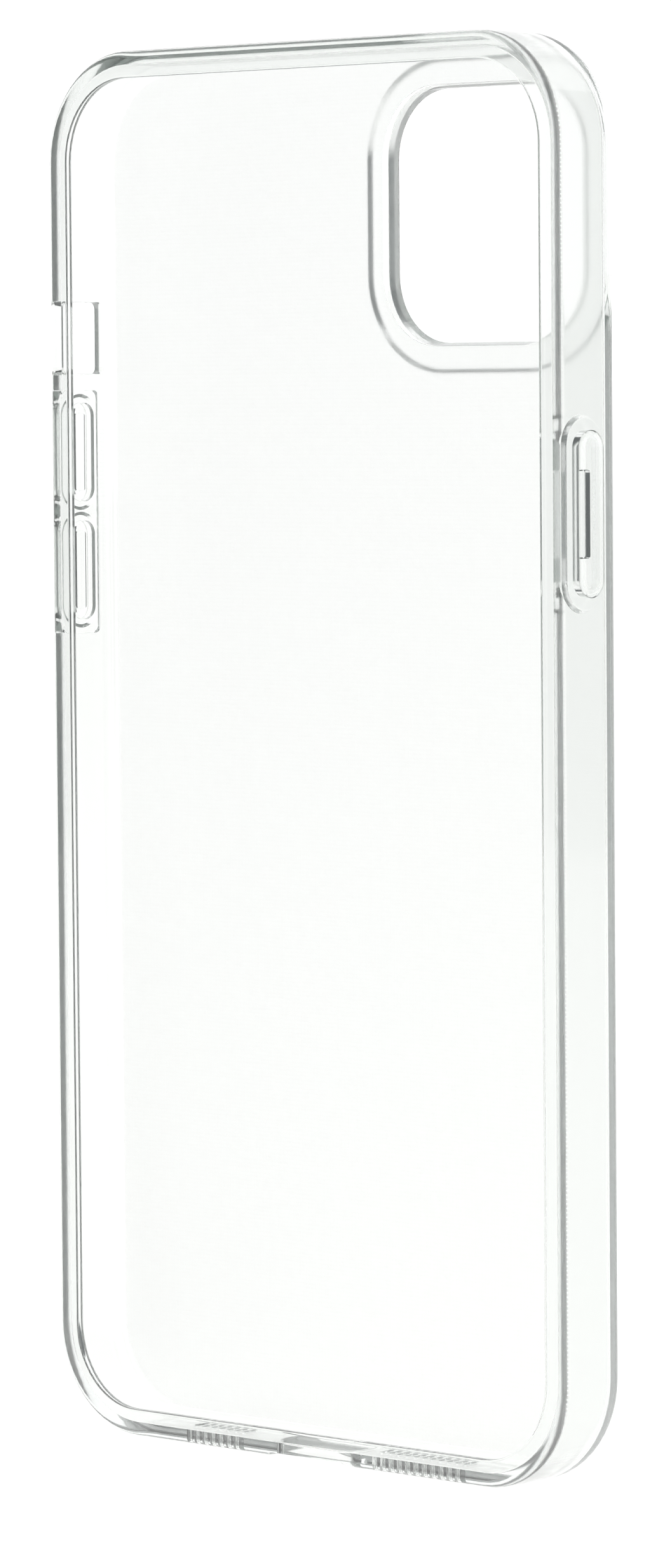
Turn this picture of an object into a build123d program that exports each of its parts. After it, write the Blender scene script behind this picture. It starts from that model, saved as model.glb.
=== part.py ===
from build123d import *
import os

# A clear one-shot moulded TPU case for a large flat-sided phone.
#
# Frame: millimetres, the case stands on its bottom edge as the phone holds it.
#   X  width, + to the right seen from the open front
#   Y  depth, the open front faces -Y and the back panel is at +Y
#   Z  length, + towards the camera end
# Origin: the middle of the pocket floor, where the phone's back rests.

# ---- the phone that the case is moulded around -------------------------------
phone_length = 160.8
phone_width = 78.1
phone_thickness = 7.8
phone_corner_radius = 11.1
phone_clearance = 0.1

# ---- the moulded skin --------------------------------------------------------
side_wall = 1.6
panel_thickness = 1.2
lip_rise = 1.0
lip_overhang = 1.6
back_edge_radius = 2.0
front_edge_radius = 0.9
lip_inner_edge_radius = 0.3
floor_corner_radius = 0.8
flange_width = 1.2

# ---- camera opening and its raised ring --------------------------------------
camera_opening_size = 29.6
camera_opening_radius = 8.2
camera_edge_gap = 5.45
camera_ring_width = 2.6
camera_ring_height = 1.35
camera_ring_crown = 1.9
camera_ring_edge_radius = 0.4

# ---- side keys ---------------------------------------------------------------
key_line = -4.3
pad_height = 0.5
pad_margin = 1.0
pad_flank_angle = 42
web_width = 0.7
web_thickness = 0.5
key_proud = 0.2
key_thickness = 1.1
key_edge_radius = 0.18
key_clearance = 0.03
rib_width = 1.9
rib_height = 0.8
power_hollow_length = 18.7
power_hollow_width = 4.2
power_height = 28.0
power_rib_length = 9.8
volume_hollow_length = 11.8
volume_hollow_width = 3.4
volume_up_height = 34.9
volume_spacing = 14.1
volume_rib_length = 6.0

# ---- relief inside the left wall, over both volume keys ------------------------
relief_bottom = 13.2
relief_top = 42.3
relief_back = -2.2
relief_depth = 0.5
relief_radius = 1.0

# ---- ring/silent switch cut-out in the left wall --------------------------------
switch_height = 48.5
switch_length = 8.5
switch_front = -7.4
switch_back = -1.4
switch_radius = 0.8

# ---- bottom wall: charging port, its finger scoop, and the sound holes -----------
port_width = 12.4
port_front = -7.0
port_back = -1.2
port_radius = 2.2
scoop_width = 12.4
scoop_depth = 0.45
scoop_back = -0.6
scoop_radius = 0.4
hole_pitch = 1.3
hole_width = 0.85
hole_length = 2.2
speaker_hole_count = 11
speaker_middle = 15.8
microphone_hole_count = 7
microphone_middle = -16.95

# ---- sizes that follow from the ones above --------------------------------------
pocket_width = phone_width + 2 * phone_clearance
pocket_length = phone_length + 2 * phone_clearance
pocket_radius = phone_corner_radius + phone_clearance
pocket_front = -(phone_thickness + phone_clearance)
case_width = pocket_width + 2 * side_wall
case_length = pocket_length + 2 * side_wall
case_radius = pocket_radius + side_wall
front_plane = pocket_front - lip_rise
panel_width = pocket_width - 2 * flange_width
panel_length = pocket_length - 2 * flange_width
panel_radius = pocket_radius - flange_width
mouth_width = pocket_width - 2 * lip_overhang
mouth_length = pocket_length - 2 * lip_overhang
mouth_radius = pocket_radius - lip_overhang
camera_x = case_width / 2 - camera_edge_gap - camera_opening_size / 2
camera_z = case_length / 2 - camera_edge_gap - camera_opening_size / 2
inner_side = pocket_width / 2
outer_side = case_width / 2
volume_down_height = volume_up_height - volume_spacing


def depth_plane(depth):
    """A plane facing the open front, at this depth: sketch X is width, sketch Y is length."""
    return Plane(origin=(0, depth, 0), x_dir=(1, 0, 0), z_dir=(0, -1, 0))


def side_plane(side, distance):
    """A plane facing outwards from one side: sketch X runs along the length of the case."""
    return Plane(origin=(side * distance, 0, 0), x_dir=(0, 0, 1), z_dir=(side, 0, 0))


def side_spot(side, height, depth=key_line):
    """The place of a height and a depth on a side plane, whose Y faces forwards on the right."""
    return (height, -side * depth)


def outline(length, width, radius, depth):
    """A rounded rectangle sketch across the case at one depth."""
    with BuildSketch(depth_plane(depth)) as sketch:
        RectangleRounded(width, length, radius)
    return sketch.sketch


def pill(side, distance, height, length, width):
    """A stadium sketch lying along the case on one side."""
    with BuildSketch(side_plane(side, distance)) as sketch:
        with Locations(side_spot(side, height)):
            SlotOverall(length, width)
    return sketch.sketch


def finger_scoop():
    """The shallow hollow under the charging port, open at the front, as a sketch at its back end."""
    with BuildSketch(depth_plane(scoop_back)) as sketch:
        with Locations((0, -case_length / 2)):
            RectangleRounded(scoop_width, 2 * scoop_depth, scoop_radius)
    return sketch.sketch


# side (+1 right, -1 left), height, hollow length and width, rib length
KEYS = {
    "power": (1, power_height, power_hollow_length, power_hollow_width, power_rib_length),
    "volume_up": (-1, volume_up_height, volume_hollow_length, volume_hollow_width, volume_rib_length),
    "volume_down": (-1, volume_down_height, volume_hollow_length, volume_hollow_width, volume_rib_length),
}

os.makedirs("parts", exist_ok=True)


# ---- back panel: the flat floor of the pocket ------------------------------------
with BuildPart() as back_panel:
    extrude(outline(panel_length, panel_width, panel_radius, panel_thickness), amount=panel_thickness)
    with BuildSketch(depth_plane(panel_thickness)) as camera_cut:
        with Locations((camera_x, camera_z)):
            RectangleRounded(camera_opening_size, camera_opening_size, camera_opening_radius)
    extrude(amount=panel_thickness, mode=Mode.SUBTRACT)
back_panel.part.label = "back_panel"
export_step(back_panel.part, "parts/back_panel.step")


# ---- camera ring: the raised rim that keeps the lenses off the table ---------------
ring_base = camera_opening_size + 2 * camera_ring_width
ring_crest = ring_base - 2 * (camera_ring_width - camera_ring_crown)
with BuildPart() as camera_ring:
    with BuildSketch(depth_plane(panel_thickness)) as base:
        with Locations((camera_x, camera_z)):
            RectangleRounded(ring_base, ring_base, camera_opening_radius + camera_ring_width)
    with BuildSketch(depth_plane(panel_thickness + camera_ring_height)) as crest:
        with Locations((camera_x, camera_z)):
            RectangleRounded(ring_crest, ring_crest, camera_opening_radius + camera_ring_crown)
    loft()
    with BuildSketch(depth_plane(panel_thickness + camera_ring_height)) as ring_hole:
        with Locations((camera_x, camera_z)):
            RectangleRounded(camera_opening_size, camera_opening_size, camera_opening_radius)
    extrude(amount=camera_ring_height, mode=Mode.SUBTRACT)
    crest_face = camera_ring.faces().filter_by(Axis.Y).sort_by(Axis.Y)[-1]
    fillet(crest_face.edges(), radius=camera_ring_edge_radius)
camera_ring.part.label = "camera_ring"
export_step(camera_ring.part, "parts/camera_ring.step")


# ---- bumper frame: the side walls, with the flange that turns into the back panel ---
wall_depth = panel_thickness - pocket_front
with BuildPart() as bumper_frame:
    extrude(outline(case_length, case_width, case_radius, panel_thickness), amount=wall_depth)
    rear_edges = bumper_frame.faces().sort_by(Axis.Y)[-1].edges()
    fillet(rear_edges, radius=back_edge_radius)
    extrude(outline(pocket_length, pocket_width, pocket_radius, 0), amount=-pocket_front, mode=Mode.SUBTRACT)
    floor_face = bumper_frame.faces().filter_by(Axis.Y).sort_by(Axis.Y)[-2]
    fillet(floor_face.outer_wire().edges(), radius=floor_corner_radius)
    panel_seat = outline(panel_length, panel_width, panel_radius, panel_thickness)
    extrude(panel_seat, amount=panel_thickness, mode=Mode.SUBTRACT)
    # raised pads around the key hollows
    for side, height, length, width, rib_length in KEYS.values():
        pad = pill(side, outer_side, height, length + 2 * pad_margin, width + 2 * pad_margin)
        extrude(pad, amount=pad_height, taper=pad_flank_angle)
    # relief behind the volume keys
    with BuildSketch(side_plane(-1, inner_side)) as relief:
        with Locations(side_spot(-1, (relief_bottom + relief_top) / 2, (pocket_front + relief_back) / 2)):
            RectangleRounded(relief_top - relief_bottom, relief_back - pocket_front, relief_radius)
    extrude(amount=relief_depth, mode=Mode.SUBTRACT)
    # the hollows go right through the wall and the pad
    for side, height, length, width, rib_length in KEYS.values():
        hollow = pill(side, inner_side - 1, height, length, width)
        extrude(hollow, amount=side_wall + pad_height + 2, mode=Mode.SUBTRACT)
    # switch cut-out
    with BuildSketch(side_plane(-1, inner_side - 1)) as switch_cut:
        with Locations(side_spot(-1, switch_height, (switch_front + switch_back) / 2)):
            RectangleRounded(switch_length, switch_back - switch_front, switch_radius)
    extrude(amount=side_wall + 2, mode=Mode.SUBTRACT)
    # charging port, finger scoop and sound holes through the bottom wall
    bottom_plane = Plane(origin=(0, 0, -case_length / 2 - 1), x_dir=(1, 0, 0), z_dir=(0, 0, 1))
    with BuildSketch(bottom_plane) as port_cut:
        with Locations((0, (port_front + port_back) / 2)):
            RectangleRounded(port_width, port_back - port_front, port_radius)
        hole_depth = (port_front + port_back) / 2
        with Locations((speaker_middle, hole_depth)):
            with GridLocations(hole_pitch, 1, speaker_hole_count, 1):
                SlotOverall(hole_length, hole_width, rotation=90)
        with Locations((microphone_middle, hole_depth)):
            with GridLocations(hole_pitch, 1, microphone_hole_count, 1):
                SlotOverall(hole_length, hole_width, rotation=90)
    extrude(amount=side_wall + 2, mode=Mode.SUBTRACT)
    extrude(finger_scoop(), amount=scoop_back - front_plane + 1, mode=Mode.SUBTRACT)
bumper_frame.part.label = "bumper_frame"
export_step(bumper_frame.part, "parts/bumper_frame.step")


# ---- front lip: the rim that turns in over the edge of the screen --------------------
with BuildPart() as front_lip:
    extrude(outline(case_length, case_width, case_radius, pocket_front), amount=lip_rise)
    fillet(front_lip.faces().sort_by(Axis.Y)[0].edges(), radius=front_edge_radius)
    mouth = outline(mouth_length, mouth_width, mouth_radius, pocket_front)
    extrude(mouth, amount=lip_rise, mode=Mode.SUBTRACT)
    front_face = front_lip.faces().filter_by(Axis.Y).sort_by(Axis.Y)[0]
    fillet(front_face.inner_wires()[0].edges(), radius=lip_inner_edge_radius)
    extrude(finger_scoop(), amount=scoop_back - front_plane + 1, mode=Mode.SUBTRACT)
front_lip.part.label = "front_lip"
export_step(front_lip.part, "parts/front_lip.step")


# ---- each key and the thin web that it hangs on ---------------------------------------
for name, (side, height, length, width, rib_length) in KEYS.items():
    web_top = outer_side + pad_height
    key_top = web_top + key_proud
    key_length = length - 2 * web_width
    key_width = width - 2 * web_width
    with BuildPart() as web:
        extrude(pill(side, web_top - web_thickness, height, length, width), amount=web_thickness)
        key_hole = pill(side, web_top - web_thickness, height, key_length, key_width)
        extrude(key_hole, amount=web_thickness, mode=Mode.SUBTRACT)
    web.part.label = f"{name}_web"
    export_step(web.part, f"parts/{name}_web.step")

    with BuildPart() as key:
        cap_length = key_length - 2 * key_clearance
        cap_width = key_width - 2 * key_clearance
        extrude(pill(side, key_top - key_thickness, height, cap_length, cap_width), amount=key_thickness)
        top_face = key.faces().filter_by(Axis.X).sort_by(Axis.X)[-1 if side > 0 else 0]
        fillet(top_face.edges(), radius=key_edge_radius)
        rib = pill(side, key_top - key_thickness - rib_height, height, rib_length, rib_width)
        extrude(rib, amount=rib_height)
    key.part.label = f"{name}_key"
    export_step(key.part, f"parts/{name}_key.step")
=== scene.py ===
# %% [markdown]
# # A clear soft phone case
#
# The case is one moulding of clear TPU, a rubbery plastic. This script takes the engineered model
# as its frame, builds a smooth glassy shell over it, hangs the three side keys in it, and lights
# it the way clear things are lit: from behind and all round, with dark cards that draw its edges.

# %% Open the engineered frame
import math
import bmesh
import bpy
import numpy as np
from mathutils import Matrix, Vector


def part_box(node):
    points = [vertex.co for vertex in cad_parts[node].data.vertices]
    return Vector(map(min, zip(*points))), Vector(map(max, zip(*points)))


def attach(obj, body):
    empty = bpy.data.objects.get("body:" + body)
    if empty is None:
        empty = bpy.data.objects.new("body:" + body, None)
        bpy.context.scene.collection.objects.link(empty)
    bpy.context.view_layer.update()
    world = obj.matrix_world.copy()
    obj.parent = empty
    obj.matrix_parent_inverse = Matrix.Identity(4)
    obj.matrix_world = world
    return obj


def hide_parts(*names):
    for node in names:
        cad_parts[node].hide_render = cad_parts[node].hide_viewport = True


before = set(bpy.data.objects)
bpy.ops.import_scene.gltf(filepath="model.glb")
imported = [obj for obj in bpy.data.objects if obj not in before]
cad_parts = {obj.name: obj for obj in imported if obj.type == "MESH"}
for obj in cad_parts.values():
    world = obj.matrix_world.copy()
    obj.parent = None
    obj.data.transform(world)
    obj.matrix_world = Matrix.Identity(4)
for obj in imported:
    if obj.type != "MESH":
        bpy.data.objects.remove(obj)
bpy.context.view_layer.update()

MM = 0.001


# %% [markdown]
# ## The sizes of the moulding
#
# Everything here is worked out in millimetres, because that is how a mould is drawn. The outer
# sizes come from the frame, so the smooth shell always fits it. The roundings, and the few widths
# that the box round a zone does not show, are given as values.

# %% Read the main sizes from the frame
def span(node, axis):
    """Lowest and highest value of one node along one axis, in millimetres."""
    low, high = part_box(node)
    return low[axis] / MM, high[axis] / MM


front_plane, pocket_front = span("front_lip", 1)
case_half_width = span("front_lip", 0)[1]
case_half_length = span("front_lip", 2)[1]
back_face = span("back_panel", 1)[1]
panel_half_width = span("back_panel", 0)[1]
flange = 1.2
pocket_half_width = panel_half_width + flange
wall = case_half_width - pocket_half_width
lip_overhang = 1.6
case_radius = 12.8
back_edge_radius = 2.0
front_edge_radius = 0.9
lip_edge_radius = 0.3
floor_radius = 0.8
print("case", 2 * case_half_width, "x", 2 * case_half_length, "wall", round(wall, 2))


# %% [markdown]
# ## Loops and lofts
#
# A moulding like this could be a box with bevels, but then every rounding would be the modifier's
# guess. It is easier to control as a stack of outlines: each outline is a rounded rectangle, a
# little larger or smaller than the one before, and the skin is stretched between them. The same
# tool then makes the shell, the camera ring, the keys and every cutter.

# %% The outline, the drawing board and the loft
ARC_STEPS = 14
WELD_DISTANCE = 1e-8
# no corner is sharper than this, and no straight side is shorter than twice this
LEAST_RADIUS = 1e-4


def rounded_loop(half_a, half_b, radius, steps=ARC_STEPS):
    """A rounded rectangle as a closed list of (a, b) points, anticlockwise."""
    radius = max(min(radius, half_a - LEAST_RADIUS, half_b - LEAST_RADIUS), LEAST_RADIUS)
    points = []
    for quarter, (sa, sb) in enumerate(((1, 1), (-1, 1), (-1, -1), (1, -1))):
        centre_a = sa * (half_a - radius)
        centre_b = sb * (half_b - radius)
        for step in range(steps + 1):
            angle = math.radians(90 * (quarter + step / steps))
            points.append((centre_a + radius * math.cos(angle), centre_b + radius * math.sin(angle)))
    return points


class Face:
    """A drawing board on the case: a middle point, two drawing directions and a way outwards."""

    def __init__(self, middle, a, b, out):
        self.middle, self.a, self.b, self.out = (np.array(v, float) for v in (middle, a, b, out))

    def point(self, a, b, level):
        return (self.middle + self.a * a + self.b * b + self.out * level) * MM


def board(face, a, b):
    """The same drawing board with its middle moved to (a, b)."""
    return Face(face.middle + face.a * a + face.b * b, face.a, face.b, face.out)


def loft(name, face, half_a, half_b, radius, profile, steps=ARC_STEPS):
    """A closed solid: the outline grown by each (offset, level) of the profile in turn."""
    loops = []
    for offset, level in profile:
        outline = rounded_loop(half_a + offset, half_b + offset, radius + offset, steps)
        loops.append([face.point(a, b, level) for a, b in outline])
    count = len(loops[0])
    points = [p for loop in loops for p in loop]
    faces = []
    for row in range(len(loops) - 1):
        here, above = row * count, (row + 1) * count
        for i in range(count):
            j = (i + 1) % count
            faces.append((here + i, here + j, above + j, above + i))
    faces.append(tuple(range(count))[::-1])
    faces.append(tuple(range((len(loops) - 1) * count, len(loops) * count)))
    mesh = bpy.data.meshes.new(name)
    mesh.from_pydata([tuple(p) for p in points], [], faces)
    mesh.validate()
    obj = bpy.data.objects.new(name, mesh)
    bpy.context.scene.collection.objects.link(obj)
    outward(obj)
    return obj


def outward(obj):
    """Turns every face of a closed mesh to look outwards."""
    work = bmesh.new()
    work.from_mesh(obj.data)
    bmesh.ops.remove_doubles(work, verts=work.verts, dist=WELD_DISTANCE)
    bmesh.ops.recalc_face_normals(work, faces=work.faces)
    work.to_mesh(obj.data)
    work.free()


# %% Profiles, cuts and a measure
def arc(centre, radius, start, end, steps):
    """Points of an arc in a profile, as (offset, level), from start to end in degrees."""
    turns = [math.radians(start + (end - start) * k / steps) for k in range(steps + 1)]
    return [(centre[0] + radius * math.cos(t), centre[1] + radius * math.sin(t)) for t in turns]


def combine(base, other, operation):
    """Joins or cuts two solids exactly, keeps the result in base and throws the other away."""
    cut = base.modifiers.new(operation.lower(), "BOOLEAN")
    cut.operation, cut.solver, cut.object = operation, "EXACT", other
    graph = bpy.context.evaluated_depsgraph_get()
    result = bpy.data.meshes.new_from_object(base.evaluated_get(graph))
    base.modifiers.clear()
    base.data = result
    bpy.data.objects.remove(other)
    return base


def volume_of(obj):
    """Volume of a closed mesh in cubic millimetres, and how many of its edges are open."""
    work = bmesh.new()
    work.from_mesh(obj.data)
    found = work.calc_volume() / MM**3
    open_edges = sum(1 for e in work.edges if not e.is_manifold)
    work.free()
    return round(found, 1), open_edges


# %% [markdown]
# ## The shell
#
# The real shell is the gap between the two halves of a mould. Walked from the middle of its back,
# its skin goes out over the flat back, round the soft rear edge, along the side, over the front
# rim, into the mouth, under the lip, down the pocket wall and in over the pocket floor. One list
# of offsets and depths describes that whole walk, so that each rounding has its own real radius
# and the mesh is closed without any thickness modifier.

# %% Build the shell from one profile
ACROSS = Face((0, 0, 0), (1, 0, 0), (0, 0, 1), (0, 1, 0))
mouth_offset = -(wall + lip_overhang)
under_lip_radius = 0.12
shell_profile = (
    arc((-back_edge_radius, back_face - back_edge_radius), back_edge_radius, 90, 0, 10)
    + arc((-front_edge_radius, front_plane + front_edge_radius), front_edge_radius, 0, -90, 8)
    + arc((mouth_offset + lip_edge_radius, front_plane + lip_edge_radius), lip_edge_radius, -90, -180, 5)
    + arc((mouth_offset + under_lip_radius, pocket_front - under_lip_radius), under_lip_radius, 180, 90, 4)
    + arc((-wall - under_lip_radius, pocket_front + under_lip_radius), under_lip_radius, -90, 0, 4)
    + arc((-wall - floor_radius, -floor_radius), floor_radius, 0, 90, 7)
)
shell = loft("clear_shell", ACROSS, case_half_width, case_half_length, case_radius, shell_profile)
print("shell volume mm3 and open edges:", volume_of(shell))


# %% [markdown]
# ## The camera ring and its opening
#
# The ring stands proud behind the panel, so that the lenses never touch the table. Its outer flank
# is steep, with a small foot where it meets the panel, and its crest is rounded on both edges. It
# could be cut out of a thicker panel. Here it is a solid of its own that is joined to the shell,
# and then one cutter with a slight draft opens the panel and the ring together.

# %% Add the ring
ring_low, ring_high = span("camera_ring", 0)
ring_bottom, ring_top = span("camera_ring", 2)
ring_crest = span("camera_ring", 1)[1]
ring_width = 2.6
ring_shift = 0.2
opening_half = (ring_high - ring_low) / 2 - ring_width
opening_radius = 8.2
ring_middle = ((ring_low + ring_high) / 2 + ring_shift, 0, (ring_bottom + ring_top) / 2)
CAMERA = Face(ring_middle, (1, 0, 0), (0, 0, 1), (0, 1, 0))
# offsets from the edge of the opening to the foot, and to the top of the flank
foot_offset, flank_offset = 3.2, 2.95
foot_width, foot_height, foot_sink = 0.1, 0.06, 0.4
shoulder = 0.4
ring_profile = (
    [(foot_offset + foot_width, back_face - foot_sink), (foot_offset + foot_width, back_face)]
    + [(foot_offset, back_face + foot_height)]
    + arc((flank_offset - shoulder, ring_crest - shoulder), shoulder, 12, 90, 8)
)
ring = loft("ring", CAMERA, opening_half, opening_half, opening_radius, ring_profile)
combine(shell, ring, "UNION")
print("with camera ring:", volume_of(shell))

# %% Cut the opening
# the cutter is wider by this much at the pocket floor, and narrower by the draft at the crest
front_widening = 0.1
draft = 0.4
front_rounding, front_rounding_depth = 0.2, 0.15
crest_rounding = 0.35
crest_offset = front_widening - draft + crest_rounding
opening_profile = (
    [(front_widening + front_rounding, -1.0)]
    + arc((front_widening + front_rounding, front_rounding_depth), front_rounding, 270, 185, 3)
    + arc((crest_offset, ring_crest - crest_rounding), crest_rounding, 172, 90, 7)
    + [(crest_offset, ring_crest + 1)]
)
opening = loft("opening", CAMERA, opening_half, opening_half, opening_radius, opening_profile)
combine(shell, opening, "DIFFERENCE")
print("with camera opening:", volume_of(shell))


# %% [markdown]
# ## The side keys
#
# Each key is a raised pad with a hollow behind it. The hollow leaves only a thin web round a
# stiffer middle, so a press bends the web and pushes the middle onto the phone's own button. The
# shell gets the pad, with a hole right through it, and the moving skin is made as its own piece.

# %% Find each key on its wall
# the side of the case that each key is on
KEYS = {"power": 1, "volume_up": -1, "volume_down": -1}
# the front edge of each hollow lies further back than its web's, by twice this much
hollow_trim = 0.1


def side_face(name):
    """The drawing board of one key on its side wall: along the case, then towards the back."""
    side = KEYS[name]
    low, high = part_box(f"{name}_web")
    middle = (0, (low[1] + high[1]) / 2 / MM, (low[2] + high[2]) / 2 / MM)
    return Face(middle, (0, 0, 1), (0, 1, 0), (side, 0, 0))


def hollow_size(name):
    """Half length and half width of the hollow behind a key."""
    low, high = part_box(f"{name}_web")
    return (high[2] - low[2]) / 2 / MM, (high[1] - low[1]) / 2 / MM - hollow_trim


def hollow_face(name):
    """The drawing board of the hollow, which sits a little behind the middle of its web."""
    return board(side_face(name), 0, hollow_trim)


# %% Add the pads and cut the hollows
KEY_STEPS = 12
pad_top = max(abs(v) for v in span("power_web", 0))
pad_flank = 0.3
pad_rounding = 0.2
pad_sink = 0.6
# half length and half width of each pad, and how far its middle lies behind the middle of its web
PADS = {"power": (11.1, 3.45, -1.0), "volume_up": (6.95, 2.75, 0.0), "volume_down": (6.95, 2.75, 0.0)}
for name, (pad_length, pad_width, shift) in PADS.items():
    pad_profile = (
        [(0, case_half_width - pad_sink), (0, case_half_width)]
        + arc((-pad_flank - pad_rounding, pad_top - pad_rounding), pad_rounding, 40, 90, 4)
    )
    spot = board(side_face(name), 0, shift)
    pad = loft("pad", spot, pad_length, pad_width, pad_width, pad_profile, KEY_STEPS)
    combine(shell, pad, "UNION")
# the hollow is cut a hair larger than drawn, and the key's skin is larger still, so they overlap
hollow_ease = 0.006
hollow_profile = [(hollow_ease, pocket_half_width - 1), (hollow_ease, pad_top + 1)]
for name in KEYS:
    length, width = hollow_size(name)
    hollow = loft("hollow", hollow_face(name), length, width, width, hollow_profile, KEY_STEPS)
    combine(shell, hollow, "DIFFERENCE")
print("with key pads:", volume_of(shell))


# %% [markdown]
# ## The openings in the walls
#
# A moulded opening never has a knife edge. A plain cutter with a bevel on its cut edges would do,
# but bevels on cut meshes go wrong easily. Each cutter here is flared instead where it meets the
# inner and the outer face, which leaves a small rounding on both rims.

# %% A flared cutter
REACH = 1.0


def flared(inner, outer, radius):
    """A cutter profile from inside to outside of a wall that rounds both of its rims."""
    return (
        [(radius, inner - REACH)]
        + arc((radius, inner + radius), radius, 270, 180, 4)
        + arc((radius, outer - radius), radius, 180, 90, 4)
        + [(radius, outer + REACH)]
    )


LEFT = Face((0, 0, 0), (0, 0, 1), (0, 1, 0), (-1, 0, 0))
BELOW = Face((0, 0, 0), (1, 0, 0), (0, 1, 0), (0, 0, -1))
WINDOW_STEPS = 6


def cut_window(face, box, radius, profile, steps=WINDOW_STEPS):
    """Cuts a rounded rectangle, given as (low a, high a, low b, high b), through the shell."""
    low_a, high_a, low_b, high_b = box
    spot = board(face, (low_a + high_a) / 2, (low_b + high_b) / 2)
    cutter = loft("cutter", spot, (high_a - low_a) / 2, (high_b - low_b) / 2, radius, profile, steps)
    combine(shell, cutter, "DIFFERENCE")


# %% Cut the relief behind the volume keys and the switch opening
relief = (13.2, 42.3, pocket_front, -2.2)
relief_radius = 1.0
# the relief is cut only into the inner face, and its far corners are rounded
relief_profile = [
    (0, pocket_half_width - 1),
    (0, pocket_half_width + 0.3),
    (-0.1, pocket_half_width + 0.45),
    (-0.3, pocket_half_width + 0.5),
]
cut_window(LEFT, relief, relief_radius, relief_profile)
switch = (44.25, 52.75, -7.4, -1.4)
switch_radius = 0.8
rim_rounding = 0.25
cut_window(LEFT, switch, switch_radius, flared(pocket_half_width, case_half_width, rim_rounding))
print("with relief and switch opening:", volume_of(shell))

# %% Cut the charging port and the scoop for a fingertip or a plug
port = (-6.2, 6.2, -7.0, -1.2)
port_radius = 2.2
bottom_inner = case_half_length - wall
cut_window(BELOW, port, port_radius, flared(bottom_inner, case_half_length, rim_rounding))
scoop = (-6.2, 6.2, front_plane - 1, -0.6)
scoop_radius, scoop_depth = 0.6, 0.45
scoop_profile = [
    (-0.35, case_half_length - scoop_depth),
    (0, case_half_length - 0.1),
    (0.3, case_half_length + 0.3),
]
cut_window(BELOW, scoop, scoop_radius, scoop_profile)
print("with charging port:", volume_of(shell))

# %% Cut the two rows of sound holes
HOLE_PITCH, HOLE_HALF_WIDTH, HOLE_HALF_LENGTH = 1.3, 0.425, 1.1
HOLE_STEPS, HOLE_ROUNDING = 5, 0.1
# the middle of each row across the case, and how many holes it has
HOLE_ROWS = {"speaker": (15.8, 11), "microphone": (-16.95, 7)}
hole_depth = (port[2] + port[3]) / 2
hole_profile = flared(bottom_inner, case_half_length, HOLE_ROUNDING)
for row_middle, count in HOLE_ROWS.values():
    for i in range(count):
        place = row_middle + HOLE_PITCH * (i - (count - 1) // 2)
        across = (place - HOLE_HALF_WIDTH, place + HOLE_HALF_WIDTH)
        deep = (hole_depth - HOLE_HALF_LENGTH, hole_depth + HOLE_HALF_LENGTH)
        cut_window(BELOW, across + deep, HOLE_HALF_WIDTH, hole_profile, HOLE_STEPS)
print("finished shell:", volume_of(shell))


# %% [markdown]
# ## The keys
#
# Each key is one skin: a stiff middle with a rib behind it, and the thin web that hangs it in the
# hollow. A press moves it by less than half a millimetre. The engineered model keeps the web apart
# and still, but to the eye the two are one, so here they are one piece that moves with the key. It
# is a hair larger than its hollow, so that light crosses from the shell to the key as it does in
# one moulding, and no false dark gap shows.

# %% The skin and the rib of one key
skin_thickness = 0.4
skin_ease = 0.012
under_rounding = 0.1
under = pad_top - skin_thickness
CROWN_STEPS = 8
rib_half_width, rib_radius, rib_chamfer, rib_sink = 0.9, 0.35, 0.15, 0.2
RIB_STEPS = 6


def key_skin(name, ramp):
    """The outer skin of a key: flush with the pad at its edge, and crowned over a ramp."""
    key_low, key_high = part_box(f"{name}_key")
    crown = max(abs(key_low[0]), abs(key_high[0])) / MM - pad_top
    profile = [(skin_ease - under_rounding, under), (skin_ease, under + under_rounding)]
    for k in range(CROWN_STEPS + 1):
        rise = (1 - math.cos(math.pi * k / CROWN_STEPS)) / 2
        profile.append((skin_ease - ramp * k / CROWN_STEPS, pad_top + crown * rise))
    length, width = hollow_size(name)
    return loft(f"{name}_key_skin", hollow_face(name), length, width, width, profile, KEY_STEPS)


def key_rib(name, share, shift, drop):
    """The rib behind a key: its share of the hollow's length, its place in it and its depth."""
    tip = under - drop
    profile = [(-rib_chamfer, tip), (0, tip + rib_chamfer), (0, under + rib_sink)]
    spot = board(hollow_face(name), 0, shift)
    return loft("rib", spot, hollow_size(name)[0] * share, rib_half_width, rib_radius, profile, RIB_STEPS)


# %% Build the three keys
# for each key: the width of its crown's ramp, then the rib's share of the length, shift and depth
KEY_SHAPES = {
    "power": (1.0, 0.53, -1.05, 1.2),
    "volume_up": (0.7, 0.8, 0.0, 0.5),
    "volume_down": (0.7, 0.8, 0.0, 0.5),
}
key_pieces = {}
for name, (ramp, share, shift, drop) in KEY_SHAPES.items():
    key_pieces[name] = combine(key_skin(name, ramp), key_rib(name, share, shift, drop), "UNION")
    print(name, "key", volume_of(key_pieces[name]))


# %% [markdown]
# ## The material
#
# Clear TPU is nearly water-clear, with a refractive index of about 1.5. The polished mould leaves
# the outside glossy. Inside, the mould is engraved with rows of tiny dimples that stop the case
# from clinging to the phone and leaving wet-looking patches, so the inner faces carry a grid of
# dots half a millimetre apart. A thick edge shows a faint green-grey that a thin wall hides.
#
# A glass shader with a colour would tint thin and thick parts alike. Here the surface is nearly
# colourless and the tint is in the volume, so that it grows with the depth of the plastic. One
# closed mesh has one volume, so the whole shell has one material, and a mark on its faces says
# where the dots are.

# %% Colours and node helpers
def linear(code):
    """An sRGB hex colour as linear RGBA."""
    values = [int(code[i:i + 2], 16) / 255 for i in (0, 2, 4)]
    return tuple(v / 12.92 if v <= 0.04045 else ((v + 0.055) / 1.055) ** 2.4 for v in values) + (1.0,)


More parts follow.
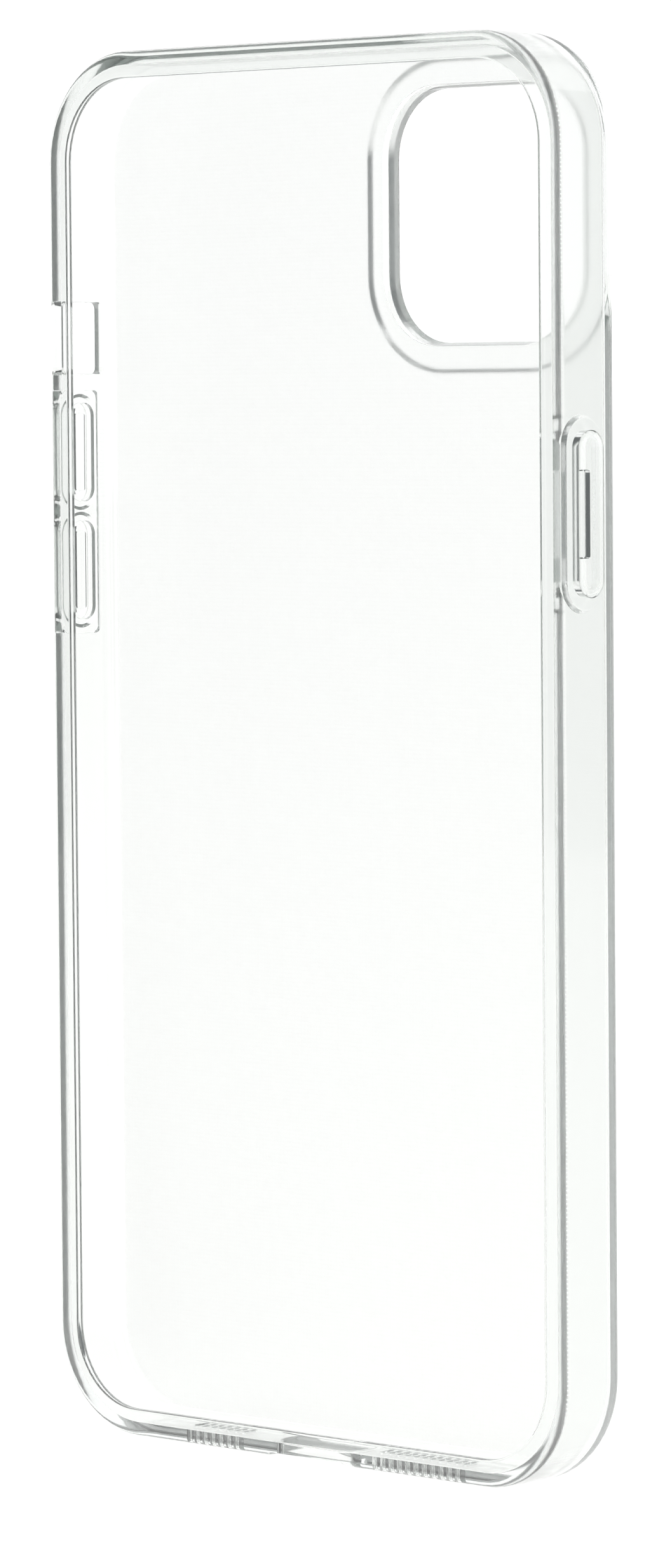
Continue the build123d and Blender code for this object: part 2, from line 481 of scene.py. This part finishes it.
def add_node(tree, kind, settings=None, inputs=None, links=None):
    """Adds one node, sets its properties and its inputs, and links its inputs to other sockets."""
    node = tree.nodes.new(kind)
    for key, value in (settings or {}).items():
        setattr(node, key, value)
    for key, value in (inputs or {}).items():
        node.inputs[key].default_value = value
    for key, socket in (links or {}).items():
        tree.links.new(socket, node.inputs[key])
    return node


# %% The grid of dots
DOT_PITCH = 0.5 * MM
DOT_HEIGHT = 0.008 * MM


def dot_pattern(tree, place, mark):
    """The height of the dots, from 0 to 1, as a socket: waves along the face that meet in a grid."""
    scaled = add_node(tree, "ShaderNodeVectorMath", {"operation": "SCALE"},
                      {"Scale": 2 * math.pi / DOT_PITCH}, {0: place.outputs["Object"]})
    axes = add_node(tree, "ShaderNodeSeparateXYZ", links={0: scaled.outputs[0]})
    normal = add_node(tree, "ShaderNodeNewGeometry")
    facing = add_node(tree, "ShaderNodeSeparateXYZ", links={0: normal.outputs["True Normal"]})
    # the dots lie in the plane of the face: drop the wave along the way the face looks
    total = None
    for axis in "XYZ":
        wave = add_node(tree, "ShaderNodeMath", {"operation": "COSINE"}, links={0: axes.outputs[axis]})
        size = add_node(tree, "ShaderNodeMath", {"operation": "ABSOLUTE"}, links={0: facing.outputs[axis]})
        inside = add_node(tree, "ShaderNodeMath", {"operation": "SUBTRACT"}, {0: 1.0}, {1: size.outputs[0]})
        part = add_node(tree, "ShaderNodeMath", {"operation": "MULTIPLY"},
                        links={0: wave.outputs[0], 1: inside.outputs[0]})
        if total is None:
            total = part
        else:
            total = add_node(tree, "ShaderNodeMath", {"operation": "ADD"},
                             links={0: total.outputs[0], 1: part.outputs[0]})
    dots = add_node(tree, "ShaderNodeMapRange", {"interpolation_type": "SMOOTHSTEP"},
                    {"From Min": 0.9, "From Max": 1.7, "To Min": 0.0, "To Max": 1.0},
                    {"Value": total.outputs[0]})
    height = add_node(tree, "ShaderNodeMath", {"operation": "MULTIPLY"},
                      links={0: dots.outputs["Result"], 1: mark.outputs["Fac"]})
    return height.outputs[0]


# %% Clear TPU
POLISHED, DOTTED = 0.06, 0.42
CLEARNESS = 0.95
TPU_IOR = 1.5
WAVE_HEIGHT = 0.01 * MM


def clear_tpu(name, dotted):
    """Clear moulded TPU. A dotted one has the grid of dots where its mesh carries the mark "dotted"."""
    material = bpy.data.materials.new(name)
    material.use_nodes = True
    tree = material.node_tree
    tree.nodes.clear()
    place = add_node(tree, "ShaderNodeTexCoord")
    # moulding marks: a very faint waviness of the skin, about 11 mm from wave to wave
    waves = add_node(tree, "ShaderNodeTexNoise", inputs={"Scale": 90.0, "Detail": 2.0},
                     links={"Vector": place.outputs["Object"]})
    bump = add_node(tree, "ShaderNodeBump", inputs={"Strength": 0.25, "Distance": WAVE_HEIGHT},
                    links={"Height": waves.outputs["Fac"]})
    surface = add_node(tree, "ShaderNodeBsdfPrincipled",
                       inputs={"Base Color": linear("FDFEFD"), "IOR": TPU_IOR, "Roughness": POLISHED,
                               "Transmission Weight": CLEARNESS})
    if dotted:
        mark = add_node(tree, "ShaderNodeAttribute", {"attribute_name": "dotted"})
        bump = add_node(tree, "ShaderNodeBump", inputs={"Strength": 1.0, "Distance": DOT_HEIGHT},
                        links={"Height": dot_pattern(tree, place, mark), "Normal": bump.outputs["Normal"]})
        gloss = add_node(tree, "ShaderNodeMapRange", inputs={"To Min": POLISHED, "To Max": DOTTED},
                         links={"Value": mark.outputs["Fac"]})
        tree.links.new(gloss.outputs["Result"], surface.inputs["Roughness"])
    tree.links.new(bump.outputs["Normal"], surface.inputs["Normal"])
    depth = add_node(tree, "ShaderNodeVolumeAbsorption", inputs={"Color": linear("E9F1EE"), "Density": 24.0})
    add_node(tree, "ShaderNodeOutputMaterial",
             links={"Surface": surface.outputs[0], "Volume": depth.outputs[0]})
    return material


shell_tpu = clear_tpu("clear_tpu_shell", dotted=True)
key_tpu = clear_tpu("clear_tpu_key", dotted=False)
print("materials:", shell_tpu.name, key_tpu.name)


# %% [markdown]
# ## Dressing the shell
#
# The dots are only on the pocket floor and the pocket walls. They could be a second material, but
# then one closed mesh would hold two volumes, and light would come out of it wrongly. So each face
# carries a number instead: 1 on the floor, less on the walls, and 0 elsewhere. Faces are picked by
# where they lie.

# %% How smooth and how dotted each face is
SHARP_ANGLE = 32
FLOOR_DOTS, WALL_DOTS = 1.0, 0.25


def smooth_skin(obj):
    """Smooth shading up to an angle, with the large flat faces kept flat."""
    for polygon in obj.data.polygons:
        polygon.use_smooth = True
    obj.data.set_sharp_from_angle(angle=math.radians(SHARP_ANGLE))
    weighted = obj.modifiers.new("weighted", "WEIGHTED_NORMAL")
    weighted.keep_sharp = True
    weighted.weight = 100


# how far off a face of the floor or of the walls may lie, in millimetres and in its normal
FLOOR_SLACK, WALL_SLACK = 0.01, 0.1


def dottedness(polygon):
    """How strong the dots are on a face: full on the pocket floor, fainter on its walls, or none."""
    x, y, z = (v / MM for v in polygon.center)
    nx, ny, nz = polygon.normal
    on_floor = abs(y) < FLOOR_SLACK and ny < FLOOR_SLACK - 1
    on_wall = (
        pocket_front < y < -floor_radius / 2
        and abs(ny) < WALL_SLACK
        and nx * x + nz * z < 0
        and abs(x) < pocket_half_width + WALL_SLACK
        and abs(z) < bottom_inner + WALL_SLACK
    )
    if on_floor:
        return FLOOR_DOTS
    return WALL_DOTS if on_wall else 0.0


# %% Put the materials on
shell.data.materials.clear()
shell.data.materials.append(shell_tpu)
marks = [dottedness(polygon) for polygon in shell.data.polygons]
shell.data.attributes.new("dotted", "FLOAT", "FACE").data.foreach_set("value", marks)
smooth_skin(shell)
print("dotted faces", sum(mark > 0 for mark in marks), "of", len(marks))
for piece in key_pieces.values():
    piece.data.materials.clear()
    piece.data.materials.append(key_tpu)
    smooth_skin(piece)


# %% [markdown]
# ## Hanging the pieces
#
# The shell rides on the case, and each key skin on its own key, so that a press moves it. Clear
# plastic in white surroundings casts next to no shadow, so the pieces cast none and stay out of
# the soft bounces of light.

# %% Hang every piece on its body
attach(shell, "case")
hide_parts("back_panel", "bumper_frame", "front_lip", "camera_ring")
for name in KEYS:
    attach(key_pieces[name], name)
    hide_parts(f"{name}_key", f"{name}_web")
for piece in (shell, *key_pieces.values()):
    piece.visible_shadow = False
    piece.visible_diffuse = False
print("pieces:", shell.name, *(piece.name for piece in key_pieces.values()))


# %% [markdown]
# ## The studio
#
# Clear plastic shows what is round it, and nothing else. White all round makes it vanish, so dark
# cards stand to the left, to the right and in front, and a narrow one lies on the floor, where only
# the bent rays at the edges find them. The camera does not see the cards themselves. The floor is
# plain and pale.

# %% Paints, cards and the floor
def plain(name, code, roughness=0.6):
    """A plain matt studio paint."""
    material = bpy.data.materials.new(name)
    material.use_nodes = True
    shader = material.node_tree.nodes["Principled BSDF"]
    shader.inputs["Base Color"].default_value = linear(code)
    shader.inputs["Roughness"].default_value = roughness
    return material


def card(name, middle, width, height, toward, material):
    """A flat rectangle that faces a point."""
    mesh = bpy.data.meshes.new(name)
    w, h = width / 2, height / 2
    mesh.from_pydata([(-w, -h, 0), (w, -h, 0), (w, h, 0), (-w, h, 0)], [], [(0, 1, 2, 3)])
    obj = bpy.data.objects.new(name, mesh)
    obj.location = middle
    obj.rotation_mode = "QUATERNION"
    obj.rotation_quaternion = (Vector(toward) - Vector(middle)).to_track_quat("Z", "Y")
    mesh.materials.append(material)
    bpy.context.scene.collection.objects.link(obj)
    return obj


FLOOR_SIZE, FLOOR_GAP = 12, 0.05 * MM
floor_height = -case_half_length * MM
floor_paint = plain("pale_floor", "F6F6F5")
floor = card("floor", (0, 0, floor_height - FLOOR_GAP), FLOOR_SIZE, FLOOR_SIZE, (0, 0, 1), floor_paint)
print("floor at", round(floor.location.z / MM, 2), "mm")

# %% The standing dark cards
CAMERA_AZIMUTH = 43.71
CARD_DISTANCE, CARD_HEIGHT, CARD_ROUGHNESS = 0.8, 0.4, 0.8
# for each card: its turn from the camera's bearing, its width, its height and its paint
DARK_CARDS = {
    "left": (-90, 0.65, 1.5, "141E24"),
    "right": (90, 0.45, 1.2, "747C78"),
    "front": (0, 0.7, 1.0, "3C4446"),
}


def hide_card(dark):
    """Leaves a dark card to the rays that have passed through the plastic."""
    dark.visible_camera = False
    dark.visible_diffuse = False
    dark.visible_shadow = False


for side, (turn, width, height, paint) in DARK_CARDS.items():
    bearing = math.radians(CAMERA_AZIMUTH + turn)
    stand = (CARD_DISTANCE * math.sin(bearing), -CARD_DISTANCE * math.cos(bearing), CARD_HEIGHT)
    paint_coat = plain(f"card_paint_{side}", paint, CARD_ROUGHNESS)
    hide_card(card(f"dark_card_{side}", stand, width, height, (0, 0, 0), paint_coat))
print("standing cards:", *DARK_CARDS)

# %% The low dark card, which darkens the left edge
LOW_WIDTH, LOW_LENGTH, LOW_DISTANCE, LOW_RISE = 0.06, 0.3, 0.17, 2 * MM
# the middle of the left wall, from which the card's distance and bearing are measured
LEFT_WALL_X, LEFT_WALL_Y = -0.041, -0.004
low_bearing = math.radians(-50)
low_x = LEFT_WALL_X + LOW_DISTANCE * math.sin(low_bearing)
low_y = LEFT_WALL_Y - LOW_DISTANCE * math.cos(low_bearing)
low_paint = plain("card_paint_low", "0C2028", CARD_ROUGHNESS)
low_card = card("dark_card_low", (low_x, low_y, floor_height + LOW_RISE), LOW_WIDTH, LOW_LENGTH,
                (low_x, low_y, 1), low_paint)
low_card.rotation_mode = "XYZ"
low_card.rotation_euler = (0, 0, low_bearing)
hide_card(low_card)
low_card.visible_glossy = False
print("low card at", [round(v, 3) for v in low_card.location])

# %% White surroundings and a soft lamp
WORLD_STRENGTH = 1.14
world = bpy.data.worlds.new("white_studio")
bpy.context.scene.world = world
world.use_nodes = True
surroundings = world.node_tree.nodes["Background"]
surroundings.inputs["Color"].default_value = (1, 1, 1, 1)
surroundings.inputs["Strength"].default_value = WORLD_STRENGTH


def softbox(name, middle, size, watts):
    """A square studio lamp that faces the case."""
    lamp = bpy.data.lights.new(name, "AREA")
    lamp.shape, lamp.size, lamp.energy = "SQUARE", size, watts
    obj = bpy.data.objects.new(name, lamp)
    obj.location = middle
    obj.rotation_mode = "QUATERNION"
    obj.rotation_quaternion = Vector(middle).to_track_quat("Z", "Y")
    bpy.context.scene.collection.objects.link(obj)
    return obj


top_lamp = softbox("top_softbox", (-0.2, 0.3, 1.6), size=1.2, watts=2.2)
bpy.context.scene.view_settings.view_transform = "Standard"
print("lamp:", top_lamp.name)


# %% [markdown]
# ## The camera
#
# A long lens from three quarters of a metre, a little above the middle of the case, keeps its long
# edges nearly parallel. The camera is placed by its bearing round the case, its height angle and
# its distance, which is easier to set than a point and three turns.

# %% Place the camera
def place_camera(azimuth, elevation, roll, distance, aim_right, aim_up, lens):
    """A camera on a bearing round the front of the case, aimed a little off its middle."""
    a, e, r = (math.radians(v) for v in (azimuth, elevation, roll))
    back = Vector((math.sin(a) * math.cos(e), -math.cos(a) * math.cos(e), math.sin(e)))
    level = Vector((math.cos(a), math.sin(a), 0))
    rise = back.cross(level)
    right = level * math.cos(r) + rise * math.sin(r)
    up = rise * math.cos(r) - level * math.sin(r)
    middle = Vector((0, front_plane, 0)) * MM
    camera = bpy.data.cameras.new("camera")
    camera.lens = lens
    camera.sensor_width = 36
    camera.clip_start, camera.clip_end = 0.05, 50
    obj = bpy.data.objects.new("camera", camera)
    turn = Matrix((right, up, back)).transposed().to_4x4()
    turn.translation = middle + back * distance + right * aim_right + up * aim_up
    obj.matrix_world = turn
    bpy.context.scene.collection.objects.link(obj)
    bpy.context.scene.camera = obj
    return obj


camera = place_camera(
    CAMERA_AZIMUTH, elevation=3.41, roll=-0.459, distance=0.7503,
    aim_right=4.35 * MM, aim_up=-3.31 * MM, lens=149.3,
)
print("camera at", [round(v, 3) for v in camera.matrix_world.translation])
